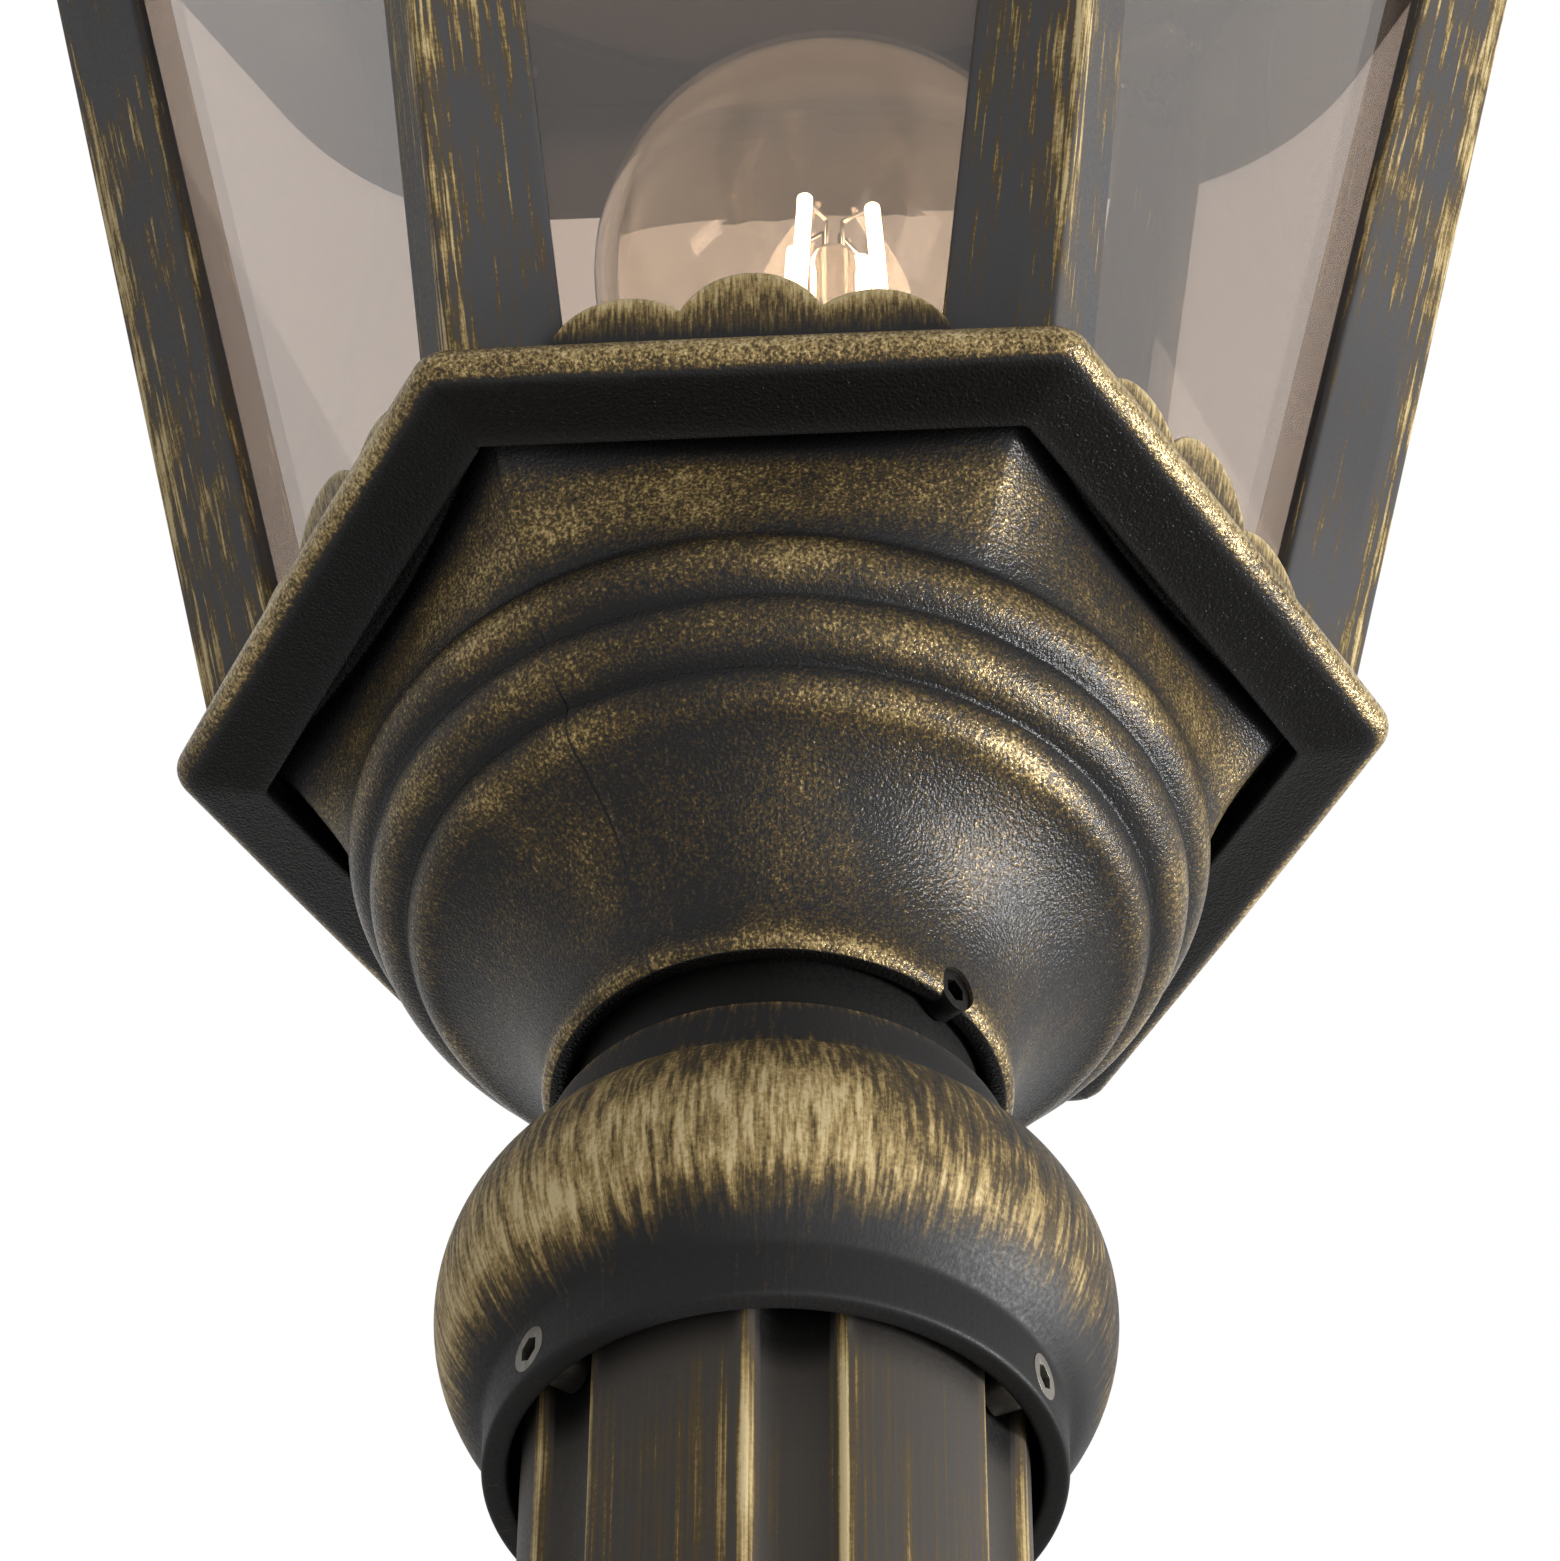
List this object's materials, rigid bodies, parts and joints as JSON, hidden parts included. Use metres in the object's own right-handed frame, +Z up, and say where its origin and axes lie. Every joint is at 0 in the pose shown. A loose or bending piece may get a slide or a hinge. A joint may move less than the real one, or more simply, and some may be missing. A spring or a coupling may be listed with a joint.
{
  "type": "lamp post",
  "caption": "Garden lamp post with a six-sided glazed lantern over a fluted pole and a round cast foot, lit by a clear screw-in bulb; the lantern head swivels and its roof lifts off.",
  "frame": {"origin": "centre of the foot's underside, on the pole's axis", "axes": "+Z up the pole; the lantern's front pane faces -Y; +X to the right seen from the front"},
  "size_m": [0.277, 0.2528, 1.2923],
  "materials": {
    "cast_paint": "charcoal paint, dry-brushed with antique gold",
    "pole_paint": "charcoal paint with gold streaks along the flutes",
    "bar_paint": "satin charcoal paint, gold rubbed along the ridges",
    "roof_paint": "charcoal paint, dry-brushed with antique gold",
    "pane_glass": "clear, polished",
    "bulb_glass": "clear, blown",
    "screw_steel": "zinc plated",
    "sheet_steel": "galvanised",
    "brass": "turned",
    "cap_aluminium": "pressed, bright",
    "porcelain": "white glazed porcelain",
    "cap_insulator": "black glass",
    "terminal_plastic": "moulded",
    "lead_brown": "satin insulation",
    "lead_blue": "satin insulation",
    "lead_green": "satin insulation",
    "filament": "glowing phosphor coating",
    "filament_wire": "drawn"
  },
  "bodies": {
    "post": {"foot_casting": "cast_paint", "foot_grub_screws": "screw_steel", "fluted_pole": "pole_paint", "ball_collar": "cast_paint", "collar_grub_screws": "screw_steel"},
    "roof": {"roof_shell": "roof_paint", "roof_screws": "screw_steel", "finial_stud": "screw_steel", "stud_nut": "screw_steel", "finial": "cast_paint"},
    "bulb": {"bulb_globe": "bulb_glass", "bulb_cap": "cap_aluminium", "bulb_cap_insulator": "cap_insulator", "bulb_tip_contact": "brass", "bulb_stem": "bulb_glass", "bulb_filaments": "filament", "bulb_filament_wires": "filament_wire"},
    "head": {"head_casting": "cast_paint", "scalloped_strip_1": "cast_paint", "scalloped_strip_2": "cast_paint", "scalloped_strip_3": "cast_paint", "scalloped_strip_4": "cast_paint", "scalloped_strip_5": "cast_paint", "scalloped_strip_6": "cast_paint", "corner_bar_1": "bar_paint", "corner_bar_2": "bar_paint", "corner_bar_3": "bar_paint", "corner_bar_4": "bar_paint", "corner_bar_5": "bar_paint", "corner_bar_6": "bar_paint", "top_frame": "bar_paint", "glass_pane_1": "pane_glass", "glass_pane_2": "pane_glass", "glass_pane_3": "pane_glass", "glass_pane_4": "pane_glass", "glass_pane_5": "pane_glass", "glass_pane_6": "pane_glass", "bar_foot_screws": "screw_steel", "frame_screws": "screw_steel", "pane_clip_screws": "screw_steel", "tray_screws": "screw_steel", "terminal_screws": "screw_steel", "earth_screw": "screw_steel", "pane_clips": "sheet_steel", "lamp_tray": "sheet_steel", "neck_set_screws": "brass", "lampholder_nipple": "brass", "nipple_nut": "brass", "lampholder_screw_shell": "brass", "lampholder_centre_contact": "brass", "earth_tag": "brass", "lampholder_body": "porcelain", "terminal_block": "terminal_plastic", "lead_brown": "lead_brown", "lead_blue": "lead_blue", "lead_earth": "lead_green"}
  },
  "joints": [
    {"name": "head_swivel", "type": "hinge", "parent": "post", "child": "head", "pos_m": [0, 0, 0.86], "axis": [0, 0, 1], "range_deg": [-170, 170]},
    {"name": "roof_lift", "type": "slide", "parent": "head", "child": "roof", "axis": [0, 0, 1], "range_m": [0, 0.15]},
    {"name": "bulb_turn", "type": "hinge", "parent": "head", "child": "bulb", "pos_m": [0.0065, 0, 0.95], "axis": [0, 0, 1], "range_deg": [0, 1080]}
  ]
}
